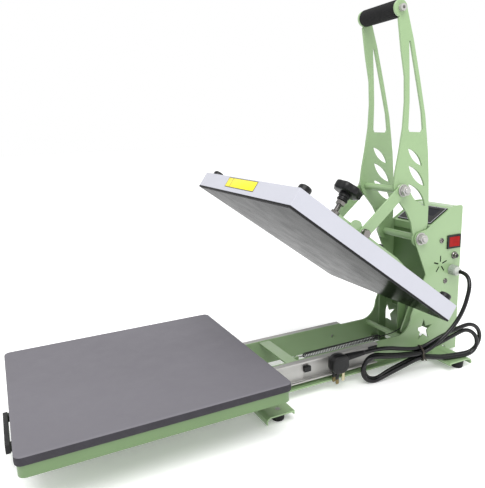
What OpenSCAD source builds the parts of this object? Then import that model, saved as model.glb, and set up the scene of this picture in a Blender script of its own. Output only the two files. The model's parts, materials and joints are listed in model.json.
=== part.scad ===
// Slide-out heat press with a rear-hinged upper platen, closed by a toggle handle.
// X runs across the machine, Y to the back, Z up. Sizes are in millimetres.
// The drawer stands pulled out to the front and the upper platen stands open.

/* [Platens] */
// Width of both platens
platen_w = 400; // [390:5:410]
// Depth of both platens
platen_d = 445; // [440:1:448]
// Angle at which the upper platen stands open
open_deg = 36.4; // [34:0.2:38]
// Height of the upper platen's housing, heat plate included
housing_h = 36.7; // [34:0.1:38]
// Thickness of the heat plate
heat_plate_t = 12; // [8:1:14]
// Corner radius of the lower pad and its tray
corner_r = 12; // [10:1:20]
// Height of the lower pad's top face
pad_top_z = 112.2; // [110:0.1:112.2]
// Height of the tray's top face, on which the pad lies
tray_top_z = 97; // [96:0.5:98]

/* [Frame] */
// Outer width across the two side plates
frame_w = 126; // [126:1:128]
// Thickness of the side plates
plate_t = 3; // [2:0.5:3]
// Front end of the side plates
base_front_y = -65; // [-70:1:-62]
// Rear end of the side plates
base_rear_y = 532; // [530:1:536]
// Height of the rubber feet
foot_h = 18; // [15:1:18]
// Distance of the feet from the middle plane
foot_x = 122; // [118:1:126]
rear_foot_x = 128; // [122:1:129]

/* [Handle] */
// Thickness of the handle arms
arm_t = 5; // [4:0.5:5]
// Diameter of the foam grip
grip_d = 34; // [30:1:38]
// Diameter of the pressure knob
knob_d = 64; // [56:1:66]

/* [Drawer] */
// Closed length of the drawer slides
slide_l = 350; // [340:5:352]
// Travel of the drawer
drawer_travel = 368; // [350:1:368]
// Height of the drawer slides' section
slide_h = 44.8; // [35:0.1:45]

/* [Cord] */
// Diameter of the mains cord
cord_d = 9; // [6:0.5:9]

/* [Hidden] */
$fn = 48;

sage = [0.68, 0.83, 0.63];
white = [0.90, 0.90, 0.95];
black = [0.08, 0.08, 0.09];
steel = [0.75, 0.76, 0.78];
pad_grey = [0.53, 0.52, 0.55];

// The handle's front face and the side plates' rear edge bound the machine along Y.
handle_front_y = -458;
mid_y = (handle_front_y + base_rear_y) / 2;

plate_x = frame_w / 2 - plate_t;
plate_out_x = frame_w / 2;
web_bottom_z = foot_h + 3;
web_top_z = 76.2;
flange_x = 80;
fit_r = 0.05;

// Axis of the handle, of the platen hinge, and the toggle link's two pins.
pivot = [409, 289];
hinge = [420, 150];
link_top = [354, 399.8];
link_bottom = [254.8, 319.3];
pin_r = 6;

// Lower rear edge of the upper platen, from which its own frame is measured.
rear_edge = [355, 151.5];
wall_t = 1.5;
beam_x = 54.6;
beam_low = 43;
beam_high = 66;
flange_high = 79;
rod_u = 226;
rod_r = 6;

arm_x = 53;
link_x = 60;
link_t = 4;
grip_axis = [341, 758.6];

// The hinge axis and the links' lower pin, as the open upper platen's own frame sees them.
function turned(v, deg) = [v[0] * cos(deg) - v[1] * sin(deg), v[0] * sin(deg) + v[1] * cos(deg)];
hinge_in = turned(hinge - rear_edge, open_deg);
ear_in = turned(link_bottom - rear_edge, open_deg);

pan_t = 2;
tray_gap = 3;
tray_bottom_z = 77;
slide_low_z = 31;
slide_rear_y = 285;
sheet = 1.2;

column_front_y = 442;
slope_deg = 30.1;
slope_mid = [471.8, 329.8];
rocker_at = [508, 271];
fuse_at = [512, 238];
gland_at = [506, 205];
gland_end_x = 88;
screw_at = [[471.5, 277], [488, 180.4]];
spring_x = 40;
spring_front = [98, 69];
spring_rear = [385, 75];
lever_x = 42;

// Hand-chosen route of the cord from the gland down to the tied hank.
cord_route = [
    [88, 506, 205], [94, 506, 205], [106, 505.3, 202.8], [116.5, 502, 196.6], [123.5, 497.5, 187],
    [127.5, 492.5, 175], [129, 487.5, 162], [129.8, 482.5, 149.5], [130, 476.5, 136], [129.6, 468.5, 122],
    [128.7, 458, 108], [127.4, 446, 95], [126, 432, 83], [123.9, 416, 71.5], [121, 400.5, 60.5],
    [118, 384, 52]];
tie_at = [112, 374];
hank_deg = 8.5;
hank_w = 18.6;

// ---------- helpers ----------

// Moves the machine so that the origin lies under the middle of its plan.
module placed() translate([0, -mid_y, 0]) children();

// Frame of the upper platen: +Y to its rear edge and beyond, +Z up through it.
module on_platen() placed() translate([0, rear_edge[0], rear_edge[1]])
    rotate([-open_deg, 0, 0]) children();

// Frame of the sloped control panel: +Y up the slope, +Z out of it.
module on_slope() placed() translate([0, slope_mid[0], slope_mid[1]])
    rotate([slope_deg, 0, 0]) children();

module both_sides() {
    children();
    mirror([1, 0, 0]) children();
}

// Stands a side view, drawn as [Y, Z], upright and gives it a thickness along X.
module sheet_at(x, t) translate([x, 0, 0]) rotate([90, 0, 90]) linear_extrude(t) children();

// A round bar along X from x0 to x1 at [Y, Z].
module bar(at, r, x0, x1) translate([x0, at[0], at[1]]) rotate([0, 90, 0]) cylinder(r = r, h = x1 - x0);

// A tube or ring along X.
module ring(at, r_out, r_in, x0, x1) translate([x0, at[0], at[1]]) rotate([0, 90, 0])
    difference() {
        cylinder(r = r_out, h = x1 - x0);
        translate([0, 0, -1]) cylinder(r = r_in, h = x1 - x0 + 2);
    }

// A hexagon prism along X, measured across its flats, with an optional hole.
module hex_x(at, flats, x0, x1, hole_r = 0) translate([x0, at[0], at[1]]) rotate([0, 90, 0])
    difference() {
        cylinder(r = flats / 2 / cos(30), h = x1 - x0, $fn = 6);
        if (hole_r > 0) translate([0, 0, -1]) cylinder(r = hole_r, h = x1 - x0 + 2);
    }

module rounded_slab(w, d, r, h) linear_extrude(h) {
    square([w - 2 * r, d], center = true);
    square([w, d - 2 * r], center = true);
    for (sx = [-1, 1], sy = [-1, 1]) translate([sx * (w / 2 - r), sy * (d / 2 - r)]) circle(r);
}

function arc(cy, cz, r, from, to, steps) = [
    for (i = [0:steps]) let (a = from + (to - from) * i / steps) [cy + r * cos(a), cz + r * sin(a)]];

function star(r_out, r_in) = [
    for (i = [0:9]) let (r = i % 2 == 0 ? r_out : r_in, a = 90 + 36 * i) [r * cos(a), r * sin(a)]];

// ---------- side plates ----------

throat_r = 40;
throat_y = 350;
throat_z = 73;
star_at = [428, 73];
rear_skirt_z = 7;
vent_at = [[471, 222], [456, 147]];

function plate_outline() = concat(
    [[base_rear_y, rear_skirt_z], [base_rear_y - 35.4, rear_skirt_z], [base_rear_y - 35.4, web_bottom_z],
        [base_front_y, web_bottom_z]],
    arc(base_front_y + 8, web_top_z - 8, 8, 180, 90, 6),
    [[283, web_top_z], [288, throat_z]],
    arc(throat_y, throat_z + throat_r, throat_r, -90, 0, 14),
    arc(418.5, 204, 9.5, -23, 25, 5),
    arc(pivot[0], pivot[1], 16, 205, 120, 8),
    [[428, 307.5], [501, 350]],
    arc(506, 347.5, 5, 115, 90, 3),
    arc(base_rear_y - 6, 346.5, 6, 90, 0, 6));

module vent_slots() for (c = vent_at, i = [0:4]) translate(c) rotate(90 + 72 * i)
    translate([6, -1.6]) square([14, 3.2]);

module plate_view(openings) difference() {
    polygon(plate_outline());
    translate(star_at) polygon(star(27, 10.8));
    vent_slots();
    translate(pivot) circle(pin_r + fit_r);
    translate(hinge) circle(pin_r + fit_r);
    translate([262, 49]) circle(3.8);
    for (c = screw_at) translate(c) circle(3.1);
    if (openings) {
        translate(rocker_at) square([36, 28], center = true);
        translate(fuse_at) circle(6.6);
        translate(gland_at) circle(8.1);
    }
}

module side_plate(openings) {
    sheet_at(plate_x, plate_t) plate_view(openings);
    translate([plate_x, base_front_y, web_bottom_z])
        cube([flange_x - plate_x, 440 - base_front_y, plate_t]);
}

module side_plate_right() color(sage) placed() side_plate(true);

module side_plate_left() color(sage) placed() mirror([1, 0, 0]) side_plate(false);

// ---------- base ----------

// Flat strap that ties the side plates, with a lug and pin for the opening spring.
module cross_strap() color(sage) placed() {
    translate([-plate_x, 66, 72]) cube([2 * plate_x, 25.5, 3]);
    translate([lever_x, 88, 62]) cube([4, 16, 13]);
    bar(spring_front, 3, spring_x - 4, lever_x + 1);
}

bracket_l = 143;
bracket_t = 3;
curl_r = 8;

// Section of a foot bracket: a flat plate with one edge curled down and the other turned down.
module bracket_section(width) {
    translate([0, foot_h]) square([width, bracket_t]);
    translate([width - bracket_t, foot_h - 4]) square([bracket_t, 5]);
    polygon(concat(arc(0.01, foot_h - curl_r, curl_r + bracket_t, 90, 200, 12),
        arc(0.01, foot_h - curl_r, curl_r, 200, 90, 12)));
}

front_bracket = [-14, 35];
rear_bracket = [431, 485];
feet = [[foot_x, 10], [rear_foot_x, 468]];

module foot_bracket(foot) difference() {
    sheet_at(-bracket_l, 2 * bracket_l) children();
    both_sides() translate([foot[0], foot[1], foot_h - 1]) {
        cylinder(r = 3.2, h = 6);
        translate([0, 0, 1.6]) cylinder(r1 = 3.2, r2 = 5.7, h = 2.5);
    }
}

module front_foot_bracket() color(sage) placed() foot_bracket(feet[0])
    translate([front_bracket[0], 0]) bracket_section(front_bracket[1] - front_bracket[0]);

module rear_foot_bracket() color(sage) placed() foot_bracket(feet[1])
    translate([rear_bracket[1], 0]) mirror([1, 0]) bracket_section(rear_bracket[1] - rear_bracket[0]);

module at_feet() both_sides() for (foot = feet) translate([foot[0], foot[1], 0]) children();

module rubber_feet() color(black) placed() at_feet() rotate_extrude()
    polygon([[5, 0], [10.5, 0], [12, 1.5], [13.5, foot_h - 2], [13.5, foot_h], [3.1, foot_h], [3.1, 5], [5, 5]]);

module foot_screws() color(steel) placed() at_feet() rotate_extrude()
    polygon([[0, 7], [3, 7], [3, foot_h + 0.7], [5.2, foot_h + 2.9], [0, foot_h + 2.9]]);

module cross_rod() color(sage) placed() bar([367, 65], 6, -plate_x, plate_x);

// Two uprights behind the throat, joined by a floor plate between the side plates.
module inner_panels() color(sage) placed() {
    translate([-plate_x, 378, 24]) cube([2 * plate_x, 20, 3]);
    both_sides() translate([31, 378, 26]) cube([3, 20, 120]);
}

// ---------- column ----------

module column_front_cover() color(sage) placed() {
    translate([-59.8, column_front_y, 100]) cube([119.6, 2, 195]);
    both_sides() difference() {
        union() {
            translate([57.8, column_front_y + 1, 265]) cube([2, 40, 25]);
            translate([57.8, column_front_y + 1, 168]) cube([2, 54, 23]);
        }
        for (c = screw_at) bar(c, 3.1, 50, 70);
    }
}

module column_back_cover() color(sage) placed() difference() {
    translate([-59.8, 528, 26]) cube([119.6, 2, 308]);
    for (z = [60:12:144]) translate([-35, 526, z]) cube([70, 6, 4]);
    for (sx = [-1, 1], z = [38, 320]) translate([sx * 50, 526, z]) rotate([-90, 0, 0]) cylinder(r = 2, h = 6);
}

// Folded sheet: front lip, slope that carries the controller, flat top and rear lip.
module control_panel() color(sage) placed() difference() {
    sheet_at(-59.8, 119.6) polygon([
        [442, 296], [442, 312.5], [501.5, 347], [505, 349.5], [530, 349.5], [530, 335],
        [528, 335], [528, 347.5], [505.6, 347.5], [502.4, 345.2], [444, 311.3], [444, 296]]);
    translate([0, slope_mid[0], slope_mid[1]]) rotate([slope_deg, 0, 0])
        translate([-44, -22, -8]) cube([88, 44, 16]);
}

bezel_w = 106;
bezel_d = 58;
button_y = -15;
button_r = 5;

module controller_bezel() color(black) on_slope() difference() {
    translate([-bezel_w / 2, -bezel_d / 2, 0.3]) cube([bezel_w, bezel_d, 2.7]);
    translate([-40, -4, -1]) cube([80, 24, 6]);
    for (x = [-26, 0, 26]) translate([x, button_y, -1]) cylinder(r = button_r + 0.3, h = 6);
}

module controller_screen() color([0.05, 0.06, 0.10]) on_slope()
    translate([-39.8, -3.8, -1.2]) cube([79.6, 23.6, 3.6]);

// Housing of the controller's electronics, hung under the slope.
module control_unit() color([0.2, 0.2, 0.22]) on_slope() {
    translate([-43.5, -21.5, -34]) cube([87, 43, 30]);
    for (x = [-43.5, 40.5]) translate([x, -21.5, -4.01]) cube([3, 43, 4.3]);
}

module button_at(x) on_slope() translate([x, button_y, -2.5]) cylinder(r = button_r, h = 7);

module set_button() color(steel) button_at(-26);

module up_button() color(steel) button_at(0);

module down_button() color(steel) button_at(26);

// Snap-in switch housing: a flange outside the plate and a box through it.
module rocker_bezel() color(black) placed() translate([0, rocker_at[0], rocker_at[1]]) difference() {
    union() {
        translate([plate_out_x, -20, -15.5]) cube([3, 40, 31]);
        translate([45, -17.6, -13.6]) cube([plate_out_x - 44, 35.2, 27.2]);
    }
    translate([47, -15.4, -11.6]) cube([30, 30.8, 23.2]);
    translate([rocker_pivot_x, 0, -13]) cylinder(r = rocker_pin_r + fit_r, h = 26);
}

rocker_pivot_x = 61;
rocker_tilt = 7;
rocker_pin_r = 1.5;

module power_rocker() color([0.85, 0.1, 0.06]) placed()
    translate([rocker_pivot_x, rocker_at[0], rocker_at[1]]) {
    rotate(-rocker_tilt) translate([0, 0, -11.2]) linear_extrude(22.4)
        polygon([[6.6, -14], [5, 0], [6.6, 14], [-1, 12.5], [-5, 5], [-5, -5], [-1, -12.5]]);
    translate([0, 0, -12.8]) cylinder(r = rocker_pin_r, h = 25.6);
}

module fuse_holder() color(steel) placed() translate([0, fuse_at[0], fuse_at[1]]) rotate([0, 90, 0])
    rotate_extrude() polygon([
        [0, 45], [6.5, 45], [6.5, 63], [8.5, 63], [8.5, 65], [7, 67], [5.5, 67], [5.5, 71], [4.5, 72], [0, 72]]);

module cable_gland() color([0.6, 0.63, 0.6]) placed() translate([0, gland_at[0], gland_at[1]]) rotate([0, 90, 0])
    rotate_extrude() polygon([
        [cord_d / 2 + 0.05, 48], [8, 48], [8, 54], [12, 54], [12, 60], [8, 60], [8, 63], [12, 63], [12, 79],
        [10.5, 81], [9.5, 81], [9.5, 86], [7.5, gland_end_x], [cord_d / 2 + 0.05, gland_end_x]]);

module column_screws() color(steel) placed() both_sides() for (c = screw_at)
    translate([0, c[0], c[1]]) rotate([0, 90, 0]) rotate_extrude()
    polygon([[0, 50], [3, 50], [3, 63], [6, 63], [5.6, 65], [4, 66.4], [2, 66.8], [0, 66.8]]);

// ---------- main pivot and hinge shaft ----------

module main_pivot_tube() color(sage) placed() ring(pivot, 8, pin_r + fit_r, -52.7, 52.7);

module main_pivot_bolt() color(steel) placed() {
    bar(pivot, pin_r, -66, 78);
    hex_x(pivot, 19, -73.5, -65.99);
    ring(pivot, 14, pin_r + fit_r, -65.6, -63.2);
    ring(pivot, 14, pin_r + fit_r, 63.2, 65.6);
    hex_x(pivot, 19, 65.8, 75.5, pin_r + fit_r);
}

module hinge_shaft() color(steel) placed() {
    bar(hinge, pin_r, -67, 67);
    both_sides() ring(hinge, 11, pin_r + fit_r, 63.2, 65.5);
}

// ---------- drawer slides ----------

module slide_at(y0, length) translate([0, y0 + length, 0]) rotate([90, 0, 0]) linear_extrude(length) children();

slide_mid_z = slide_low_z + slide_h / 2;

// A C section open to the outside, drawn as [X, Z] about the slide's middle height.
module c_section(x0, x1, h, lip) translate([0, slide_mid_z]) {
    translate([x0, -h / 2]) square([sheet, h]);
    for (s = [-1, 1]) translate([x0, s > 0 ? h / 2 - sheet : -h / 2]) square([x1 - x0, sheet]);
    if (lip > 0) for (s = [-1, 1]) translate([x1 - sheet, s > 0 ? h / 2 - lip : -h / 2]) square([sheet, lip]);
}

slide_rest_y = slide_rear_y - slide_l;

module slide_outer_members() color(steel) placed() both_sides()
    slide_at(slide_rest_y, slide_l) c_section(plate_out_x, plate_out_x + 12.7, slide_h, 3.2);

module slide_mid_members() color(steel) placed() both_sides()
    slide_at(slide_rest_y - drawer_travel / 2, slide_l) c_section(66, 74.2, slide_h - 7.8, 0);

module slide_inner_members() color(steel) placed() both_sides()
    slide_at(slide_rest_y - drawer_travel, slide_l) translate([145.2, 0]) mirror([1, 0])
    c_section(69, 76.2, slide_h - 16.8, 0);

// ---------- drawer ----------

rail_x = 76.2;
drawer_plate_y = tray_gap - platen_d + 4.2;

module tray() color(sage) placed() difference() {
    translate([0, -platen_d / 2, tray_bottom_z])
        rounded_slab(platen_w - 2 * tray_gap, platen_d - 2 * tray_gap, corner_r, tray_top_z - tray_bottom_z);
    translate([0, -platen_d / 2, tray_bottom_z - 1])
        rounded_slab(platen_w - 2 * tray_gap - 2 * pan_t, platen_d - 2 * tray_gap - 2 * pan_t,
            corner_r - pan_t, tray_top_z - tray_bottom_z + 1 - pan_t);
    translate([-126, -20, tray_bottom_z - 1]) cube([252, 40, 91 - tray_bottom_z]);
}

module foam_pad() color(pad_grey) placed() translate([0, -platen_d / 2, tray_top_z])
    rounded_slab(platen_w, platen_d, corner_r, pad_top_z - tray_top_z);

// Upright rails from the slides up to the tray, joined by the drawer's front plate.
module tray_rails() color(sage) placed() {
    translate([-rail_x - pan_t, drawer_plate_y - 2, 30]) cube([2 * (rail_x + pan_t), 2, 33]);
    both_sides() translate([rail_x, drawer_plate_y - 0.01, 38])
        cube([pan_t, slide_rest_y - drawer_travel + slide_l - drawer_plate_y, tray_top_z - pan_t - 38]);
}

module drawer_handle() color(black) placed() {
    translate([-58, handle_front_y, 38]) cube([116, 8, 16]);
    both_sides() translate([44, handle_front_y + 7.99, 40])
        cube([13, drawer_plate_y - 2 - handle_front_y - 8, 12]);
}

// ---------- opening spring ----------

// The spring's closed coil, its end wires and the eyes that hook over the two pins.
module opening_spring() color([0.2, 0.2, 0.22]) placed() {
    translate([spring_x, 117, 70.5]) rotate([-90, 0, 0]) cylinder(r = 6.5, h = 207);
    translate([spring_x, spring_front[0] + 4.2, 70.5]) rotate([-90, 0, 0]) cylinder(r = 1, h = 16);
    translate([spring_x, 323, 74]) rotate([-90, 0, 0]) cylinder(r = 1, h = 57.8);
    for (c = [spring_front, spring_rear]) ring(c, 5.7, 3.5, spring_x - 1.2, spring_x + 1.2);
}

// ---------- beam over the upper platen ----------

module beam_flange() difference() {
    union() {
        polygon([[-250, beam_low], [-250, flange_high], [-62, flange_high], [-20, 73], [18, beam_high],
            [60, 49], [46, 27], [12, beam_low]]);
        translate(hinge_in) circle(14);
    }
    translate(hinge_in) circle(pin_r + fit_r);
}

module support_beam() color(sage) on_platen() difference() {
    union() {
        both_sides() sheet_at(beam_x - 3, 3) beam_flange();
        translate([-beam_x, -250, beam_high - 3]) cube([2 * beam_x, 268, 3]);
        both_sides() translate([beam_x - 18, -120, flange_high - 3]) cube([17, 18, 3]);
        translate([0, -rod_u, beam_high - 0.01]) cylinder(r = 13, h = 12);
    }
    translate([0, -rod_u, beam_high - 10]) cylinder(r = rod_r + fit_r, h = 40);
}

module link_ears() color(sage) on_platen() both_sides() sheet_at(beam_x, 5) difference() {
    union() {
        for (p = [ear_in, ear_in + [-23, 2]]) translate(p) circle(14);
        polygon([[ear_in[0] - 44, beam_low], ear_in + [-36.5, 6], ear_in + [13.5, 4],
            [ear_in[0] + 32, beam_low]]);
    }
    translate(ear_in) circle(5.05);
}

// Bearing tube on the hinge shaft, with the lever that the opening spring pulls.
module hinge_barrel() color(sage) placed() {
    ring(hinge, 12, pin_r + fit_r, -51.5, 51.5);
    difference() {
        sheet_at(lever_x, 4) {
            translate(spring_rear) circle(7);
            polygon([[378.2, 77.5], [391.8, 72.5], [431, 144], [411, 154]]);
        }
        bar(hinge, 9, 30, 60);
    }
    bar(spring_rear, 3, spring_x - 4, lever_x + 1);
}

// ---------- upper platen ----------

plate_inset = 4;
seal_h = 4;

module heat_plate() color([0.6, 0.6, 0.62]) on_platen()
    translate([-platen_w / 2 + plate_inset, -platen_d + plate_inset, 0])
    cube([platen_w - 2 * plate_inset, platen_d - 2 * plate_inset, heat_plate_t]);

element_r = 4;
element_pitch = 90;
element_front_y = -360;
element_rear_y = -85;

// Tubular heater: four straight runs joined by three half-round bends.
module heating_element() color([0.35, 0.33, 0.32]) on_platen() translate([0, 0, heat_plate_t + element_r + 0.1]) {
    for (x = [-1.5, -0.5, 0.5, 1.5]) translate([x * element_pitch, element_front_y, 0])
        rotate([-90, 0, 0]) cylinder(r = element_r, h = element_rear_y - element_front_y);
    for (x = [-1, 1]) translate([x * element_pitch, element_rear_y - 0.01, 0])
        rotate_extrude(angle = 180) translate([element_pitch / 2, 0]) circle(element_r);
    translate([0, element_front_y + 0.01, 0]) rotate([0, 0, 180])
        rotate_extrude(angle = 180) translate([element_pitch / 2, 0]) circle(element_r);
}

module insulation_pad() color([0.85, 0.82, 0.7]) on_platen()
    translate([-186, -platen_d + 14, heat_plate_t + 9]) cube([372, platen_d - 28, housing_h - wall_t - heat_plate_t - 9.5]);

module platen_cover() color(white) on_platen() difference() {
    translate([-platen_w / 2, -platen_d, seal_h]) cube([platen_w, platen_d, housing_h - seal_h]);
    translate([-platen_w / 2 + wall_t, -platen_d + wall_t, 0])
        cube([platen_w - 2 * wall_t, platen_d - 2 * wall_t, housing_h - wall_t]);
}

module corner_caps() color(black) on_platen() for (sx = [-1, 1], y = [-20, -425])
    translate([sx * 180, y, housing_h]) rotate_extrude()
    polygon([[0, 0], [12, 0], [12, 8.8], [10.4, 11.6], [7.6, 13], [0, 13]]);

module swivel_block() color(steel) on_platen() translate([0, -rod_u, housing_h]) difference() {
    cylinder(r = 18, h = 11);
    translate([0, 0, 3]) cylinder(r = rod_r + fit_r, h = 12);
}

// ---------- pressure knob ----------

module pressure_rod() color(steel) on_platen() translate([0, -rod_u, housing_h + 3.2])
    cylinder(r = rod_r, h = 92);

module rod_nuts() color(steel) on_platen() for (v = [84, 109]) translate([0, -rod_u, v]) difference() {
    cylinder(r = 19 / 2 / cos(30), h = 9, $fn = 6);
    translate([0, 0, -1]) cylinder(r = rod_r + fit_r, h = 12);
}

knob_lobes = 7;
hub_h = 17;

module pressure_knob() color(black) on_platen() translate([0, -rod_u, 118.5]) {
    difference() {
        cylinder(r = 13, h = hub_h + 0.5);
        translate([0, 0, -1]) cylinder(r = rod_r + fit_r, h = hub_h - 2);
    }
    translate([0, 0, hub_h]) linear_extrude(20) polygon(knob_outline());
}

// Outline with rounded lobes whose radius swings between the body's and the lobes' own.
function knob_outline() = [for (i = [0:knob_lobes * 12 - 1]) let (a = 360 * i / (knob_lobes * 12))
    (knob_d / 2 - 2.6 + 2.6 * cos(knob_lobes * a)) * [cos(a), sin(a)]];

// ---------- handle ----------

arm_front = [
    [336, 740], [346, 678], [356, 630], [358, 580], [355, 529], [346, 478], [338, 439],
    [334, 407], [341, 388], [350, 376], [372, 350], [384.5, 327.5], [391.6, 298]];
arm_rear = [
    [426.4, 298], [433, 321], [433, 372], [430.5, 419], [426, 474], [414, 553], [395, 630],
    [376, 701], [355, 765]];

// A pointed leaf from p to q whose sides bulge by half its width.
module leaf(p, q, w) {
    l = norm(q - p) / 2;
    s = w / 2;
    r = (l * l + s * s) / (2 * s);
    translate((p + q) / 2) rotate(atan2(q[1] - p[1], q[0] - p[0])) intersection() {
        translate([0, r - s]) circle(r, $fn = 96);
        translate([0, s - r]) circle(r, $fn = 96);
    }
}

module arm_view() difference() {
    union() {
        polygon(concat(arm_front, arm_rear));
        translate(grip_axis) circle(16);
        translate(pivot) circle(18.5);
    }
    translate(grip_axis) circle(4.1);
    translate(pivot) circle(pin_r + fit_r);
    translate(link_top) circle(pin_r + fit_r);
    polygon([[364, 698], [368, 630], [370, 580], [369, 526], [372, 520], [405, 518], [409, 524], [404, 560],
        [391, 610], [368, 698]]);
    leaf([370, 486], [410, 448], 15);
    leaf([373, 450], [419, 404], 17);
    leaf([374, 411], [423, 360], 20);
}

module arm_right() color(sage) placed() sheet_at(arm_x, arm_t) arm_view();

module arm_left() color(sage) placed() mirror([1, 0, 0]) sheet_at(arm_x, arm_t) arm_view();

module foam_grip() color(black) placed() translate([-52.6, grip_axis[0], grip_axis[1]]) rotate([0, 90, 0])
    rotate_extrude() polygon(concat([[8.1, 0]], arc(grip_d / 2 - 4, 4, 4, -90, 0, 6),
        arc(grip_d / 2 - 4, 105.2 - 4, 4, 0, 90, 6), [[8.1, 105.2]]));

// Rod through the grip, with a socket screw into each end.
module grip_rod() color(steel) placed() {
    ring(grip_axis, 8, 4 + fit_r, -52.8, 52.8);
    both_sides() difference() {
        union() {
            bar(grip_axis, 4, 28, 58.2);
            bar(grip_axis, 7, 58.2, 66);
        }
        hex_x(grip_axis, 6, 61, 67);
    }
}

module link_tube() color(sage) placed() ring(link_top, 8, pin_r + fit_r, -52.8, 52.8);

module link_top_bolt() color(steel) placed() {
    bar(link_top, pin_r, -68, 79);
    hex_x(link_top, 19, -75.5, -67.99);
    ring(link_top, 13, pin_r + fit_r, -67.6, -64.4);
    ring(link_top, 13, pin_r + fit_r, 64.4, 67);
    hex_x(link_top, 19, 67.2, 77, pin_r + fit_r);
    both_sides() ring(link_top, 10, pin_r + fit_r, 58.2, 59.8);
}

// ---------- toggle links ----------

link_w = 26;
link_run = link_top - link_bottom;

link_deg = atan2(link_run[1], link_run[0]);

module link_view() difference() {
    polygon(concat(arc(link_top[0], link_top[1], link_w / 2, link_deg - 90, link_deg + 90, 20),
        arc(link_bottom[0], link_bottom[1], link_w / 2, link_deg + 90, link_deg + 270, 20)));
    translate(link_top) circle(pin_r + fit_r);
    translate(link_bottom) circle(5.05);
}

module link_right() color(sage) placed() sheet_at(link_x, link_t) link_view();

module link_left() color(sage) placed() mirror([1, 0, 0]) sheet_at(link_x, link_t) link_view();

// The shanks stop just short of the ears: the linkage is open at this pivot.
module link_bottom_bolts() color(steel) placed() both_sides() {
    bar(link_bottom, 5, 59.9, 66.3);
    ring(link_bottom, 10, 5.05, 64.2, 66);
    hex_x(link_bottom, 17, 66.2, 73);
}

// ---------- cord ----------

function catmull(a, b, c, d, t) = 0.5 * (2 * b + (c - a) * t + (2 * a - 5 * b + 4 * c - d) * t * t
    + (3 * b - a - 3 * c + d) * t * t * t);

function smooth(p, steps) = let (n = len(p) - 1) concat(
    [for (i = [0:n - 1], k = [0:steps - 1])
        catmull(p[max(i - 1, 0)], p[i], p[i + 1], p[min(i + 2, n)], k / steps)], [p[n]]);

function unit(v) = v / norm(v);

function tangents(p) = [for (i = [0:len(p) - 1]) unit(p[min(i + 1, len(p) - 1)] - p[max(i - 1, 0)])];

// Carries one side direction along the route, turning it no more than the route turns.
function carried(t, i, side) = i == len(t) ? [] :
    let (s = unit(side - (side * t[i]) * t[i])) concat([s], carried(t, i + 1, s));

function tube_points(p, r, sides) = let (t = tangents(p), s = carried(t, 0, [0, 0, 1])) [
    for (i = [0:len(p) - 1], k = [0:sides - 1]) let (a = 360 * k / sides)
        p[i] + r * (cos(a) * s[i] + sin(a) * cross(t[i], s[i]))];

function tube_faces(rings, sides) = concat(
    [[for (k = [sides - 1:-1:0]) k]],
    [for (i = [0:rings - 2], k = [0:sides - 1])
        [i * sides + k, i * sides + (k + 1) % sides, (i + 1) * sides + (k + 1) % sides, (i + 1) * sides + k]],
    [[for (k = [0:sides - 1]) (rings - 1) * sides + k]]);

module power_cord() color(black) placed() {
    path = smooth(cord_route, 2);
    sides = 10;
    polyhedron(tube_points(path, cord_d / 2, sides), tube_faces(len(path), sides), convexity = 6);
}

// Frame of the hank: X out from the machine, +Y along it to the back, slightly skewed.
module at_hank() placed() translate([tie_at[0], tie_at[1], 0]) rotate([0, 0, -hank_deg]) children();

// Outer shape of the tied hank: small lobes to the front, taller ones to the back.
// Its top front corner is the run that goes on to the plug.
module cord_hank() color(black) at_hank() sheet_at(-hank_w / 2, hank_w) polygon(concat(
    [[-86, 76], [-140.6, 77]],
    arc(-117, 32, 31.8, 92, 285, 20),
    [[-13, 32.6], [5, 33.6], [28, 28.8], [58, 22]],
    arc(123, 59.3, 38.1, -90, 96, 20),
    [[12, 64.5], [-12, 62.5]]));

// Wire tie around the waist of the hank.
module cord_tie() color([0.3, 0.3, 0.3]) at_hank() translate([-hank_w / 2 - 1, -2, 31.4]) difference() {
    cube([hank_w + 2, 4, 33.6]);
    translate([1, -1, 2]) cube([hank_w, 6, 29.6]);
}

module plug_body() color(black) placed() {
    translate([80, 171, 63]) rotate([90, 0, 90]) rounded_slab(40, 40, 14, 24);
    translate([92, 189, 72]) rotate([-90, 0, 0]) cylinder(r1 = 8, r2 = 5.5, h = 46);
}

module plug_pins() color([0.85, 0.75, 0.5]) placed()
    for (p = [[84, 160], [96, 160], [90, 179]]) translate([p[0], p[1], 21]) cube([4, 6.4, 22]);

side_plate_right();
side_plate_left();
cross_strap();
front_foot_bracket();
rear_foot_bracket();
rubber_feet();
foot_screws();
cross_rod();
column_front_cover();
column_back_cover();
control_panel();
control_unit();
controller_bezel();
controller_screen();
rocker_bezel();
fuse_holder();
cable_gland();
column_screws();
inner_panels();
main_pivot_tube();
main_pivot_bolt();
hinge_shaft();
slide_outer_members();
opening_spring();
power_cord();
cord_hank();
cord_tie();
plug_body();
plug_pins();
support_beam();
link_ears();
hinge_barrel();
heat_plate();
heating_element();
insulation_pad();
platen_cover();
corner_caps();
swivel_block();
pressure_knob();
pressure_rod();
rod_nuts();
arm_right();
arm_left();
foam_grip();
grip_rod();
link_tube();
link_top_bolt();
link_right();
link_left();
link_bottom_bolts();
tray();
foam_pad();
drawer_handle();
slide_inner_members();
tray_rails();
slide_mid_members();
power_rocker();
set_button();
up_button();
down_button();
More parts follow.
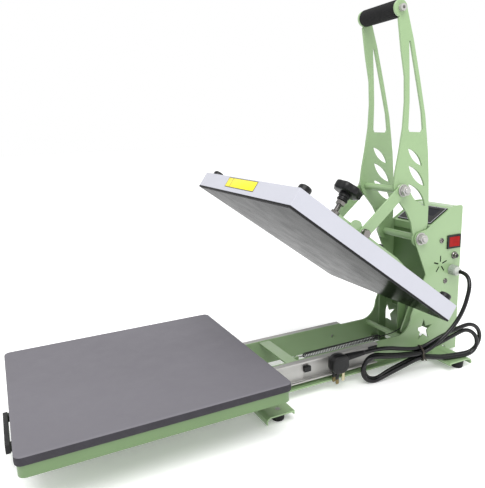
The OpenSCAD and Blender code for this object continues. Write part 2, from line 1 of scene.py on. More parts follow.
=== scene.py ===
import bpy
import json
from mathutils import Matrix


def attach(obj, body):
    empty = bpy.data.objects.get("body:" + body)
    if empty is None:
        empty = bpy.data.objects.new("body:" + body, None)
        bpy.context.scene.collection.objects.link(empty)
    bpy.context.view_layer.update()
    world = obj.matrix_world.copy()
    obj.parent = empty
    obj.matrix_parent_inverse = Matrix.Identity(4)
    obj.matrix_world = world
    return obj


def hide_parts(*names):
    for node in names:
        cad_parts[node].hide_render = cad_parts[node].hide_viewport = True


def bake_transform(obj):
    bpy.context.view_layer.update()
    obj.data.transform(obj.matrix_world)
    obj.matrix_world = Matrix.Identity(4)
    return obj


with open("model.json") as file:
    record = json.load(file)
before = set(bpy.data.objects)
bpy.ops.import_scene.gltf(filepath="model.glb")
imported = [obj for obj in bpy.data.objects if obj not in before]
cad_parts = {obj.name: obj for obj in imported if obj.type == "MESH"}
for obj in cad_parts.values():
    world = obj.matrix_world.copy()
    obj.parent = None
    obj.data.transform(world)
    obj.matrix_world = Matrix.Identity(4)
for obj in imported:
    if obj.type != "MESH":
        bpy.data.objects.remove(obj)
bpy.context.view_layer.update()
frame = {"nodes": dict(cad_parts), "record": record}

import bpy, json, math
from mathutils import Matrix, Vector

scene = bpy.context.scene
NODES = frame["nodes"]
RECORD = frame["record"]
BODY = {n: b for b, ns in RECORD["behaviour"]["bodies"].items() for n in ns}
SLOT = {s["node"]: s["material_slot"] for s in RECORD["subparts"]}

# Sizes are in millimetres. MACHINE takes the machine's frame, with Y from the pad's rear edge,
# to the frame's metres.
MM = 0.001
MID_Y = 37
MACHINE = Matrix.Scale(MM, 4) @ Matrix.Translation((0, -MID_Y, 0))

OPEN_DEG = 36.4
PANEL_DEG = 30.1
HANK_DEG = 8.5
HINGE_AT = (0, 355, 151.5)
PANEL_AT = (0, 471.8, 329.8)
TIE_AT = (112, 374)
PLATEN_W, PLATEN_D = 400, 445


def turned(at, degrees, axis):
    """A frame on the machine, moved to a point and turned about one of its axes."""
    return MACHINE @ Matrix.Translation(at) @ Matrix.Rotation(math.radians(degrees), 4, axis)


PLATEN = turned(HINGE_AT, -OPEN_DEG, "X")
SLOPE = turned(PANEL_AT, PANEL_DEG, "X")
HANK = turned((*TIE_AT, 0), -HANK_DEG, "Z")
PAD_MID = Matrix.Translation((0, -PLATEN_D / 2, 0))


def mirrored(side):
    """The machine's frame, mirrored in X for side -1."""
    return MACHINE @ Matrix.Scale(side, 4, (1, 0, 0))


# ---------- camera ----------

CAMERA_AT = (0.91399, -0.45960, 0.5428)
CAMERA_LENS = 38.75
CAMERA_DEG = (64.84, 12.57, -2.13)


def aim_camera():
    """Stands at CAMERA_AT and looks along an azimuth and elevation, rolled about that line."""
    az, el, roll = map(math.radians, CAMERA_DEG)
    forward = Vector((-math.sin(az) * math.cos(el), math.cos(az) * math.cos(el), -math.sin(el)))
    right = Vector((math.cos(az), math.sin(az), 0))
    up = right.cross(forward)
    r = math.cos(roll) * right + math.sin(roll) * up
    u = -math.sin(roll) * right + math.cos(roll) * up
    cam = bpy.data.cameras.new("camera")
    cam.lens = CAMERA_LENS
    cam.sensor_width = 36
    cam.clip_start, cam.clip_end = 0.05, 60
    ob = bpy.data.objects.new("camera", cam)
    scene.collection.objects.link(ob)
    rot = Matrix((r, u, -forward)).transposed().to_4x4()
    ob.matrix_world = Matrix.Translation(CAMERA_AT) @ rot
    scene.camera = ob


aim_camera()


# ---------- mesh building ----------

def piece(name, verts, faces, where, mats, body, smooth=34, pick=None):
    """Makes a mesh from points in the frame `where`, and rides it on a body."""
    me = bpy.data.meshes.new(name)
    me.from_pydata([where @ Vector(v) for v in verts], [], faces)
    mats = mats if isinstance(mats, (list, tuple)) else [mats]
    for k in mats:
        me.materials.append(k)
    if pick:
        for p in me.polygons:
            p.material_index = pick(p.index)
    me.polygons.foreach_set("use_smooth", [True] * len(me.polygons))
    me.set_sharp_from_angle(angle=math.radians(smooth))
    ob = bpy.data.objects.new(name, me)
    scene.collection.objects.link(ob)
    if body:
        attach(ob, body)
    return ob


def grid(rings, cap=(True, True)):
    """Faces over closed rings of equally many points, with a cap over the first and the last."""
    n = len(rings[0])
    verts = [v for r in rings for v in r]
    faces = []
    for i in range(len(rings) - 1):
        for k in range(n):
            a, b = i * n + k, i * n + (k + 1) % n
            faces.append((a, b, b + n, a + n))
    if cap[0]:
        faces.append(tuple(reversed(range(n))))
    if cap[1]:
        faces.append(tuple(range((len(rings) - 1) * n, len(rings) * n)))
    return verts, faces


# What turns local Z to a machine axis.
AXES = {
    "X": Matrix.Rotation(math.pi / 2, 4, "Y"),
    "Y": Matrix.Rotation(-math.pi / 2, 4, "X"),
    "Z": Matrix.Identity(4),
}


def placed(where, at, axis):
    """The frame at a point of `where` whose Z runs along an axis."""
    return where @ Matrix.Translation(at) @ AXES[axis]


def lathe(name, at, axis, profile, where, mat, body, slot, seg=48, shape=None, smooth=34,
          cap=(True, True)):
    """Turns (along, radius) pairs about an axis through `at`; shape(angle, along) scales them."""
    rings = []
    for z, r in profile:
        ring = []
        for k in range(seg):
            a = 2 * math.pi * k / seg
            rr = r * (shape(a, z) if shape else 1)
            ring.append((rr * math.cos(a), rr * math.sin(a), z))
        rings.append(ring)
    v, f = grid(rings, cap=cap)
    return piece(name, v, f, placed(where, at, axis), mat, body, smooth)


def hex_nut(name, at, axis, z0, z1, flats, hole, where, mat, body, slot, chamfer=(True, True)):
    """A hexagon nut or head whose corners are turned off at a 30 degree chamfer."""
    sixth = math.pi / 6
    half = flats / 2
    lip = 0.3
    uncut = 2
    drop = (half / math.cos(sixth) - half * 0.97) * math.tan(math.radians(30))
    # Steps down the chamfer, and how far out the corners may stand there, in half widths.
    steps = ((0, 0.97), (0.4, 1.03), (0.75, 1.1), (1, 1.16))
    profile = []
    limits = {}
    for start, sign, cut, run in ((z0, 1, chamfer[0], steps), (z1, -1, chamfer[1], steps[::-1])):
        for t, k in run:
            z = start + sign * drop * t
            limits[z] = k if cut else uncut
            profile.append((z, half))
    if hole:
        profile = [(z0 + lip, hole)] + profile + [(z1 - lip, hole)]

    def shape(a, z):
        t = (a + sixth) % (2 * sixth) - sixth
        return min(1 / math.cos(t), limits[z]) if z in limits else 1

    return lathe(name, at, axis, profile, where, mat, body, slot, seg=72, shape=shape, smooth=24,
                 cap=(not hole, not hole))


def washer(name, at, axis, z0, z1, r_out, r_in, where, mat, body, slot):
    """A flat ring with its outer edges broken."""
    c = min(0.5, (z1 - z0) * 0.3)
    profile = [(z0, r_in), (z0, r_out - c), (z0 + c, r_out), (z1 - c, r_out), (z1, r_out - c),
               (z1, r_in), (z0, r_in)]
    return lathe(name, at, axis, profile, where, mat, body, slot, cap=(False, False))


THREAD_PITCH = 1.75


def threaded(name, at, axis, z0, z1, r, where, mat, body, slot):
    """A bar with a real helical thread and chamfered ends."""
    depth, tip = 0.55, 0.8
    seg, rings_a_turn = 24, 6
    n = max(2, int((z1 - z0) / THREAD_PITCH * rings_a_turn))
    rings = []
    for i in range(n + 1):
        z = z0 + (z1 - z0) * i / n
        ring = []
        for k in range(seg):
            a = 2 * math.pi * k / seg
            p = (z / THREAD_PITCH - k / seg) % 1
            rr = r - depth * abs(2 * p - 1)
            edge = min(z - z0, z1 - z)
            if edge < tip:
                rr = min(rr, r - depth - (tip - edge) * 0.7)
            ring.append((rr * math.cos(a), rr * math.sin(a), z))
        rings.append(ring)
    v, f = grid(rings)
    return piece(name, v, f, placed(where, at, axis), mat, body, smooth=50)


def outline(w, d, r, steps):
    """A rounded rectangle, anticlockwise."""
    pts = []
    for sx, sy, a0 in ((1, 1, 0), (-1, 1, 90), (-1, -1, 180), (1, -1, 270)):
        for i in range(steps + 1):
            a = math.radians(a0 + 90 * i / steps)
            pts.append((sx * (w / 2 - r) + r * math.cos(a), sy * (d / 2 - r) + r * math.sin(a)))
    return pts


def slab(name, w, d, r, levels, where, mats, body, slot, steps=3, extra=1, smooth=34, pick=None):
    """A rounded plate of (inset, height) levels; its straight sides are cut into `extra` parts."""
    rings = []
    for inset, z in levels:
        o = outline(w - 2 * inset, d - 2 * inset, max(r - inset, 0.05), steps)
        ring = []
        for i, p in enumerate(o):
            q = o[(i + 1) % len(o)]
            ring.append((p[0], p[1], z))
            if i % (steps + 1) == steps:
                for k in range(1, extra):
                    t = k / extra
                    ring.append((p[0] + (q[0] - p[0]) * t, p[1] + (q[1] - p[1]) * t, z))
        rings.append(ring)
    v, f = grid(rings)
    return piece(name, v, f, where, mats, body, smooth, pick)


def block(name, lo, hi, c, where, mat, body, slot):
    """A box with small rounded edges."""
    w, d, h = (hi[k] - lo[k] for k in range(3))
    s = c * 0.3
    mid = Matrix.Translation(((lo[0] + hi[0]) / 2, (lo[1] + hi[1]) / 2, lo[2]))
    levels = [(c, 0), (s, s), (0, c), (0, h - c), (s, h - s), (c, h)]
    return slab(name, w, d, c, levels, where @ mid, mat, body, slot)


def smooth_line(points, step=3.0, passes=6):
    """A centripetal Catmull-Rom curve through points, relaxed a little in `passes`."""
    p = [Vector(q) for q in points]
    p = [2 * p[0] - p[1]] + p + [2 * p[-1] - p[-2]]
    out = []
    for i in range(1, len(p) - 2):
        a, b, c, d = p[i - 1:i + 3]
        t0 = 0.0
        t1 = t0 + (b - a).length ** 0.5
        t2 = t1 + (c - b).length ** 0.5
        t3 = t2 + (d - c).length ** 0.5
        n = max(2, round((c - b).length / step))
        for k in range(n):
            t = t1 + (t2 - t1) * k / n
            a1 = (t1 - t) / (t1 - t0) * a + (t - t0) / (t1 - t0) * b
            a2 = (t2 - t) / (t2 - t1) * b + (t - t1) / (t2 - t1) * c
            a3 = (t3 - t) / (t3 - t2) * c + (t - t2) / (t3 - t2) * d
            b1 = (t2 - t) / (t2 - t0) * a1 + (t - t0) / (t2 - t0) * a2
            b2 = (t3 - t) / (t3 - t1) * a2 + (t - t1) / (t3 - t1) * a3
            out.append((t2 - t) / (t2 - t1) * b1 + (t - t1) / (t2 - t1) * b2)
    out.append(p[-2].copy())
    for _ in range(passes):
        inner = [q * 0.5 + (p + r) * 0.25 for p, q, r in zip(out, out[1:], out[2:])]
        out = [out[0]] + inner + [out[-1]]
    return out


def closed_smooth(points, n=4):
    """A Catmull-Rom curve round a closed loop, n steps to a span."""
    out = []
    k = len(points)
    for i in range(k):
        a, b, c, d = (points[(i + j) % k] for j in (-1, 0, 1, 2))
        for s in range(n):
            t = s / n
            out.append(0.5 * (2 * b + (c - a) * t + (2 * a - 5 * b + 4 * c - d) * t * t
                              + (3 * b - a - 3 * c + d) * t ** 3))
    return out


def tube(name, line, r, where, mat, body, slot, seg, closed=False):
    """A round tube along a line, whose ring direction is carried without twist."""
    n = len(line)
    rings = []
    side = None
    for i, p in enumerate(line):
        a = line[(i - 1) % n] if closed or i else line[0]
        b = line[(i + 1) % n] if closed or i < n - 1 else line[-1]
        t = (b - a).normalized()
        if side is None:
            side = t.orthogonal().normalized()
        side = (side - side.dot(t) * t).normalized()
        other = t.cross(side)
        angles = [2 * math.pi * k / seg for k in range(seg)]
        rings.append([p + r * (math.cos(a) * side + math.sin(a) * other) for a in angles])
    if closed:
        rings.append(rings[0])
    v, f = grid(rings, cap=(not closed, not closed))
    return piece(name, v, f, where, mat, body, smooth=60)


# ---------- materials ----------

def lin(*display):
    """A display colour, 0 to 255, as linear with alpha."""
    return tuple(c / 255 / 12.92 if c <= 10 else ((c / 255 + 0.055) / 1.055) ** 2.4
                 for c in display) + (1,)


def shade(colour, factor):
    return tuple(min(c * factor, 1) for c in colour[:3]) + (1,)


M = {}
NOISE_BAND = (0.3, 0.7)


def material(name, colour, rough, metal=0.0, spread=0.06, patch=14.0, grain=900.0, bump=0.00004,
             stretch=None, rough_spread=0.1, cells=None, speckle=None, scratch=0.0, **extra):
    """A surface with broad colour variation, a fine grain in its height, and uneven gloss.

    patch, grain and cells are scales a metre, bump is a height in metres, and speckle is a scale,
    an amount and a tint. It goes into M under its name.
    """
    mat = bpy.data.materials.new(name)
    mat.use_nodes = True
    nt = mat.node_tree
    nodes, links = nt.nodes, nt.links
    bsdf = nodes["Principled BSDF"]
    bsdf.inputs["Metallic"].default_value = metal
    for k, v in extra.items():
        bsdf.inputs[k.replace("_", " ")].default_value = v
    co = nodes.new("ShaderNodeTexCoord")
    src = co.outputs["Object"]

    def mapped(scale, rotation=(0, 0, 0)):
        mp = nodes.new("ShaderNodeMapping")
        mp.inputs["Scale"].default_value = scale
        mp.inputs["Rotation"].default_value = rotation
        links.new(src, mp.inputs["Vector"])
        return mp.outputs["Vector"]

    def noise(vec, scale, detail, dist=0.0):
        n = nodes.new("ShaderNodeTexNoise")
        n.inputs["Scale"].default_value = scale
        n.inputs["Detail"].default_value = detail
        n.inputs["Distortion"].default_value = dist
        links.new(vec, n.inputs["Vector"])
        return n.outputs["Fac"]

    def ramp(fac, lo, hi, a, b):
        r = nodes.new("ShaderNodeMapRange")
        for k, v in zip(("From Min", "From Max", "To Min", "To Max"), (lo, hi, a, b)):
            r.inputs[k].default_value = v
        links.new(fac, r.inputs["Value"])
        return r.outputs["Result"]

    def mix(fac, a, b):
        x = nodes.new("ShaderNodeMix")
        x.data_type = "RGBA"
        links.new(fac, x.inputs[0])
        for sock, val in ((x.inputs[6], a), (x.inputs[7], b)):
            if isinstance(val, tuple):
                sock.default_value = val
            else:
                links.new(val, sock)
        return x.outputs[2]

    def added(a, b, clamp=False):
        add = nodes.new("ShaderNodeMath")
        add.operation = "ADD"
        add.use_clamp = clamp
        links.new(a, add.inputs[0])
        links.new(b, add.inputs[1])
        return add.outputs[0]

    fine_src = mapped(stretch) if stretch else src
    broad = noise(src, patch, 3)
    height = noise(fine_src, grain, 4)
    col = mix(ramp(broad, *NOISE_BAND, 0, 1), shade(colour, 1 - spread), shade(colour, 1 + spread))
    if speckle:
        scale, amount, tint = speckle
        spot = ramp(noise(src, scale, 2), 0.62, 0.72, 0, amount)
        col = mix(spot, col, tint)
    if cells:
        v = nodes.new("ShaderNodeTexVoronoi")
        v.inputs["Scale"].default_value = cells
        links.new(src, v.inputs["Vector"])
        cell = ramp(v.outputs["Distance"], 0.0, 0.6, 0, 1)
        height = added(height, cell)
        # The pits that the cells cut into the height are darkened in colour too: painted shade in
        # the pits.
        col = mix(ramp(cell, 0, 0.5, 0.35, 0), col, shade(colour, 0.4))
    links.new(col, bsdf.inputs["Base Color"])
    gloss = ramp(noise(fine_src, patch * 4, 4, 0.4), *NOISE_BAND, rough - rough_spread / 2,
                 rough + rough_spread / 2)
    if scratch:
        lines = noise(mapped((40, 2, 40), (0.4, 0.3, 0.9)), 22, 2)
        gloss = added(gloss, ramp(lines, 0.66, 0.7, 0, scratch), clamp=True)
    links.new(gloss, bsdf.inputs["Roughness"])
    bp = nodes.new("ShaderNodeBump")
    bp.inputs["Strength"].default_value = 1.0
    bp.inputs["Distance"].default_value = bump
    links.new(height, bp.inputs["Height"])
    links.new(bp.outputs["Normal"], bsdf.inputs["Normal"])
    M[name] = mat


def on(body, slot, mat=None):
    """The material, body and slot of a piece, in the order that the builders take them."""
    return M[mat or slot], body, slot


material("sage_paint", lin(136, 163, 119), 0.36, spread=0.03, grain=650, bump=0.00003,
         rough_spread=0.12, scratch=0.15, Coat_Weight=0.5, Coat_Roughness=0.2)
# A darker copy of sage_paint: painted shade for the tray's side and the column's shaded front cover
# and inner panels.
material("sage_tray", lin(92, 118, 76), 0.45, spread=0.04, grain=650, bump=0.00005,
         rough_spread=0.12, scratch=0.15, Coat_Weight=0.1, Coat_Roughness=0.3)
material("white_paint", lin(173, 174, 183), 0.38, spread=0.015, grain=700, bump=0.00004,
         scratch=0.12, Coat_Weight=0.15, Coat_Roughness=0.2)
material("coated_aluminium", lin(76, 77, 79), 0.2, metal=1.0, spread=0.05, patch=9, grain=420,
         bump=0.00001, stretch=(1, 0.08, 1), speckle=(1500, 0.3, lin(92, 93, 95)),
         Specular_Tint=(0.4, 0.4, 0.4, 1))
material("zinc_steel", lin(176, 175, 172), 0.5, metal=0.6, spread=0.06, patch=30, grain=500,
         bump=0.00002, stretch=(1, 0.05, 1), rough_spread=0.16, scratch=0.2)
material("chrome", lin(122, 119, 116), 0.14, metal=1.0, spread=0.05, patch=60, grain=1200,
         bump=0.00001, rough_spread=0.12, scratch=0.15)
material("black_plastic", lin(16, 16, 17), 0.36, spread=0.12, patch=40, grain=1100, bump=0.00006,
         rough_spread=0.14, Specular_IOR_Level=0.3)
material("button_plastic", lin(190, 192, 196), 0.3, spread=0.03, patch=60, grain=1500, bump=0.00003)
material("dark_glass", lin(6, 9, 22), 0.3, spread=0.1, patch=12, grain=300, bump=0.000004,
         rough_spread=0.04, Specular_IOR_Level=0.15)
material("red_plastic", lin(142, 6, 3), 0.4, spread=0.12, patch=90, grain=900, bump=0.00003,
         rough_spread=0.08, Specular_IOR_Level=0.2)
material("grey_plastic", lin(142, 150, 140), 0.45, spread=0.06, patch=40, grain=1200, bump=0.00007)
material("black_rubber", lin(15, 15, 16), 0.62, Specular_IOR_Level=0.25, spread=0.16, patch=50,
         grain=900, bump=0.00012, speckle=(900, 0.15, lin(60, 60, 60)))
material("cord_rubber", lin(10, 10, 12), 0.22, spread=0.15, patch=30, grain=700, bump=0.00003,
         rough_spread=0.12, Specular_IOR_Level=0.35)
material("grip_foam", lin(20, 20, 21), 0.82, Specular_IOR_Level=0.25, spread=0.15, patch=40,
         grain=1400, bump=0.00022, cells=1100, rough_spread=0.1)
material("pad_foam", lin(100, 98, 104), 0.7, spread=0.035, patch=7, grain=1300, bump=0.0001,
         rough_spread=0.14, speckle=(2200, 0.22, lin(98, 97, 106)))
material("pad_side", lin(44, 42, 48), 0.9, spread=0.12, patch=60, grain=1200, bump=0.0003,
         cells=800, rough_spread=0.1)
material("black_steel", lin(44, 44, 46), 0.34, metal=0.7, spread=0.12, patch=60, grain=900,
         bump=0.00004)
material("spring_steel", lin(46, 46, 47), 0.3, metal=0.8, spread=0.1, patch=60, grain=900,
         bump=0.00003)
material("element_steel", lin(104, 98, 92), 0.45, metal=0.8, spread=0.14, patch=30, grain=600,
         bump=0.00005)
material("insulation", lin(214, 208, 188), 0.95, spread=0.08, patch=40, grain=500, bump=0.0006,
         stretch=(1, 0.3, 1))
material("brass", lin(196, 188, 156), 0.28, metal=1.0, spread=0.08, patch=90, grain=900,
         bump=0.00002, scratch=0.2)
# A darker copy of brass: painted shade on the two sleeved pins.
material("dull_brass", lin(120, 108, 72), 0.45, metal=0.8, spread=0.15, patch=120, grain=900,
         bump=0.00003)
material("label_yellow", lin(222, 208, 24), 0.35, spread=0.04, patch=60, grain=1200, bump=0.00001)
material("label_black", lin(26, 26, 24), 0.4, spread=0.1, patch=60, grain=1200, bump=0.00001)
material("silver_line", lin(176, 178, 182), 0.3, metal=0.6, spread=0.05, patch=60, grain=900,
         bump=0.00001)
material("pale_nut", lin(176, 180, 174), 0.4, spread=0.04, patch=60, grain=900, bump=0.00004)
# Near black, for the sheets behind the vent slots: painted shade.
material("vent_gauze", lin(8, 9, 8), 0.8, spread=0.2, patch=80, grain=2400, bump=0.0003, cells=1600,
         Specular_IOR_Level=0.1)
material("tie_wire", lin(58, 50, 40), 0.4, spread=0.2, patch=200, grain=2000, bump=0.00004)


# ---------- the carried-over CAD nodes ----------

# Widths of the broken edges, by slot and then by node, and the nodes painted in the darker sage as
# painted shade.
EDGE_ELSE = 0.3
EDGE = {"sage_paint": 0.55, "white_paint": 0.6, "coated_aluminium": 0.5, "zinc_steel": 0.18,
        "black_plastic": 0.6, "button_plastic": 0.5, "dark_glass": 0.25, "black_rubber": 0.5}
EDGE_OF = {"support_beam": 0.5, "platen_cover": 0.35, "tray": 0.5, "control_panel": 0.3,
           "fuse_holder": 0.2, "rocker_bezel": 0.3, "controller_bezel": 0.35,
           "controller_screen": 0.1, "column_screws": 0.15}
# Painted shade: these nodes take the darker copy of the sage paint in place of sage_paint.
PAINTED_SHADE_OF = {n: "sage_tray" for n in ("tray", "column_front_cover", "inner_panels")}
# Nodes whose flat faces come as thin triangles, which are merged before the bevel.
TRIANGLE_FANS = ("link_right", "link_left")
for name, ob in NODES.items():
    ob.data.materials.clear()
    ob.data.materials.append(M[PAINTED_SHADE_OF.get(name, SLOT[name])])
    weld = ob.modifiers.new("weld", "WELD")
    weld.merge_threshold = 0.01 * MM
    if name in TRIANGLE_FANS:
        flat = ob.modifiers.new("flat", "DECIMATE")
        flat.decimate_type = "DISSOLVE"
        flat.angle_limit = math.radians(1)
    bevel = ob.modifiers.new("edges", "BEVEL")
    bevel.width = EDGE_OF.get(name, EDGE.get(SLOT[name], EDGE_ELSE)) * MM
    bevel.segments = 2
    bevel.limit_method = "ANGLE"
    bevel.angle_limit = math.radians(38)
    bevel.use_clamp_overlap = True
    normals = ob.modifiers.new("normals", "WEIGHTED_NORMAL")
    normals.weight = 80


# ---------- mains cord, tie and plug ----------

ROUTE = [
    (88, 506, 205), (94, 506, 205), (106, 505.3, 202.8), (116.5, 502, 196.6), (123.5, 497.5, 187),
    (127.5, 492.5, 175), (129, 487.5, 162), (129.8, 482.5, 149.5), (130, 476.5, 136),
    (129.6, 468.5, 122), (128.7, 458, 108), (127.4, 446, 95), (126, 432, 83), (123.9, 416, 71.5),
    (121, 400.5, 60.5), (118, 384, 52)]
CORD_D = 9
# The hank's runs lie in two upright lanes, given by their X at the tie.
NEAR, FAR = 116.6, 107.4
LANE_CHANGE = 0.3


def fold(cy, cz, r, a0, a1, lane0, lane1, n):
    """One fold of the hank: points round an arc, which may change lane past LANE_CHANGE of it."""
    pts = []
    for i in range(n + 1):
        t = i / n
        e = min(max((t - LANE_CHANGE) / (1 - LANE_CHANGE), 0), 1)
        e = e * e * (3 - 2 * e)
        a = math.radians(a0 + (a1 - a0) * t)
        pts.append((lane0 + (lane1 - lane0) * e, cy + r * math.cos(a), cz + r * math.sin(a)))
    return pts


def cord_points():
    """The whole cord: from the gland to the hank, its four folds, and the run on to the plug."""
    waist = [(300, 17.5), (335, 29), (361, 37), (378, 38.3), (402, 33.5), (430, 27.8)]
    hank = [(NEAR, 362, 48.6), (NEAR, 330, 49.5), (NEAR, 298, 53.5)]
    hank += fold(257, 32, 27.2, 80, 285, NEAR, NEAR, 13)
    hank += [(NEAR, y, z) for y, z in waist] + [(NEAR, 460, 25.8)]
    hank += fold(489, 53.5, 27.6, -90, 95, NEAR, FAR, 12)
    hank += [(FAR, 456, 71.5), (FAR, 417, 58.5), (FAR, 388, 50.3), (FAR, 361, 47.9),
             (FAR, 330, 49.5), (FAR, 298, 53.5)]
    hank += fold(266, 32, 27.2, 80, 285, FAR, FAR, 13)
    hank += [(FAR, y, z) for y, z in waist] + [(FAR, 465, 25.8)]
    hank += fold(497, 59.5, 33.6, -90, 95, FAR, FAR, 14)
    hank += [(FAR, 456, 84), (FAR, 417, 71), (FAR, 388, 60), (FAR, 364, 57.4)]
    skew = math.tan(math.radians(HANK_DEG))
    hank = [(x + (y - TIE_AT[1]) * skew, y, z) for x, y, z in hank]
    to_plug = [(101, 331, 62.5), (95.5, 295, 69.5), (92.8, 262, 72.2), (92, 235, 72), (92, 219, 72)]
    return ROUTE + hank + to_plug


def make_cord():
    """The cord as a round curve, and its length in metres."""
    line = [MACHINE @ p for p in smooth_line(cord_points())]
    length = sum((b - a).length for a, b in zip(line, line[1:]))
    cu = bpy.data.curves.new("mains_cord", "CURVE")
    cu.dimensions = "3D"
    cu.bevel_depth = CORD_D / 2 * MM
    cu.bevel_resolution = 5
    cu.use_fill_caps = True
    sp = cu.splines.new("POLY")
    sp.points.add(len(line) - 1)
    for p, q in zip(sp.points, line):
        p.co = (*q, 1)
    sp.use_smooth = True
    ob = bpy.data.objects.new("mains_cord", cu)
    cu.materials.append(M["cord_rubber"])
    scene.collection.objects.link(ob)
    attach(ob, "base")
    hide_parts("power_cord", "cord_hank")
    return ob, length


cord, cord_length = make_cord()

# The tie goes twice round the five runs at the waist, and its ends are twisted together.
TIE_LOOP = [(-10.2, 36), (-8, 33), (0, 32.6), (8, 33), (10.2, 36), (10.3, 45), (10.2, 52), (8, 56),
            (3, 60), (-1, 62.9), (-6, 63), (-9.9, 61), (-10.2, 52), (-10.3, 45)]
TIE_WIRE = on("base", "black_steel", "tie_wire")
tie_line = closed_smooth([Vector((x, 0, z)) for x, z in TIE_LOOP])
for i, dy in enumerate((-0.95, 0.95)):
    tube(f"cord_tie_turn_{i}", [p + Vector((0, dy, 0)) for p in tie_line], 0.9, HANK,
                     *TIE_WIRE, seg=8, closed=True)
for i in range(2):
    twist = []
    for k in range(25):
        a = k * 0.75 + math.pi * i
        grow = min(k / 6, 1)
        x, z = 10.4 + k * 0.42, 46 - k * 0.35
        twist.append(Vector((x, math.sin(a) * grow, z + math.cos(a) * grow)))
    tube(f"cord_tie_end_{i}", twist, 0.8, HANK, *TIE_WIRE, seg=8)
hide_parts("cord_tie")

# Moulded plug: a rounded body, a raised grip panel, and a ribbed boot. The body's faces lie in YZ
# and its thickness runs along X.
PLUG = MACHINE @ Matrix.Translation((80, 171, 63)) @ Matrix(
    ((0, 0, 1, 0), (1, 0, 0, 0), (0, 1, 0, 0), (0, 0, 0, 1)))
PLUG_AXIS = (92, 191, 72)
BLACK = on("base", "black_plastic")
plug = slab("plug_housing", 40, 40, 16,
            [(6, 0), (2.4, 0.6), (0.7, 2.2), (0, 5), (0, 11.4), (0.5, 11.6), (0.5, 12.4), (0, 12.6),
             (0, 19), (0.7, 21.8), (2.4, 23.4), (6, 24)],
            PLUG, *BLACK, steps=9, extra=3)
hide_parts("plug_body")
panel = slab("plug_panel", 22, 22, 7, [(0, 23.5), (0.2, 24.2), (1, 24.3), (1.6, 23.9), (4, 23.8)],
             PLUG, *BLACK, steps=6, extra=2)
boot_profile = [(-6, 7.8), (0, 7.9), (1.5, 7.7), (2.2, 7.0)]
for k in range(9):
    y = 3.4 + k * 4.4
    r = 7.6 - k * 0.27
    boot_profile += [(y, r - 0.9), (y + 0.6, r), (y + 2.6, r - 0.05), (y + 3.2, r - 0.95)]
boot_profile += [(43.2, 5.2), (44, 4.8), (44, 4.51)]
boot = lathe("plug_boot", PLUG_AXIS, "Y", boot_profile, MACHINE, *BLACK, seg=40, smooth=40,
             cap=(True, False))

# Three pins point down: two with sleeves, and the earth pin.
PIN_W, PIN_D = 4, 6.4
EARTH = 2
for i, (x, y) in enumerate(((84, 160), (96, 160), (90, 179))):
    # The two sleeved pins take the darker brass: painted shade.
    pin_at = MACHINE @ Matrix.Translation((x + PIN_W / 2, y + PIN_D / 2, 21))
    slab(f"plug_pin_{i}", PIN_W, PIN_D, 0.7,
                     [(1.4, 0), (0.5, 0.8), (0, 2.6), (0, 22), (0.3, 22.4)], pin_at,
                     *on("base", "brass", "brass" if i == EARTH else "dull_brass"))
    if i != EARTH:
        slab(f"plug_pin_sleeve_{i}", PIN_W + 0.3, PIN_D + 0.3, 0.9,
                         [(0.2, 11), (0, 11.3), (0, 22.3)], pin_at, *BLACK)
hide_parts("plug_pins")

# Gland in the side plate: a grey body with a ribbed cap, its nut inside, and a pale relief.
GLAND = (0, 506, 205)
CAP_FROM, CAP_TO = 66.6, 78.4
GREY = on("base", "grey_plastic")


def ribbed_cap(a, z):
    return 1 + (0.03 * math.cos(16 * a) if CAP_FROM <= z <= CAP_TO else 0)


gland = [
    lathe("gland_body", GLAND, "X",
          [(48, 7.6), (53.5, 7.6), (53.5, 8), (60, 8), (63.2, 8), (63.2, 11.4), (64, 12), (66, 12),
           (CAP_FROM, 11.4), (CAP_TO, 11.4), (79, 10.9), (79, 6)],
          MACHINE, *GREY, seg=96, shape=ribbed_cap, smooth=28),
    hex_nut("gland_inner_nut", GLAND, "X", 54, 59.9, 22, 8.05, MACHINE, *GREY),
    lathe("gland_relief", GLAND, "X",
          [(78.5, 8), (79, 9.7), (82, 9.9), (83, 9.3), (83.6, 8.3), (84.4, 8.4), (85, 7.4),
           (85.8, 7.4), (86.4, 6.5), (87.4, 6.2), (88, 5.6), (88, 4.51)],
          MACHINE, *on("base", "grey_plastic", "pale_nut"), cap=(True, False)),
]
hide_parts("cable_gland")


# ---------- small parts of the column and beam ----------

# The black disc in the fuse holder's end.
lathe("fuse_cap", (0, 512, 238), "X", [(71.5, 0), (71.5, 4.3), (72.6, 4.3), (73, 3.9), (73, 0)],
      MACHINE, *BLACK, seg=36, cap=(False, False))

# Bolts in the two tabs of the beam.
for tag, x in (("l", -45), ("r", 45)):
    hex_nut(f"tab_bolt_{tag}", (x, -111, 0), "Z", 79.05, 83.4, 10, 0, PLATEN,
            *on("beam", "black_steel"), (False, True))

# Near black sheets inside the side plates, behind each group of vent slots: painted shade in the
# slots.
VENT_SHADE_SHEET = [(61.6, 0), (61.6, 22), (62.6, 22), (62.6, 0)]
for side, tag in ((1, "r"), (-1, "l")):
    for k, (y, z) in enumerate(((471, 222), (456, 147))):
        lathe(f"vent_gauze_{tag}{k}", (0, y, z), "X", VENT_SHADE_SHEET, mirrored(side),
              *on("base", "black_plastic", "vent_gauze"), cap=(False, False))


# ---------- foam pad ----------

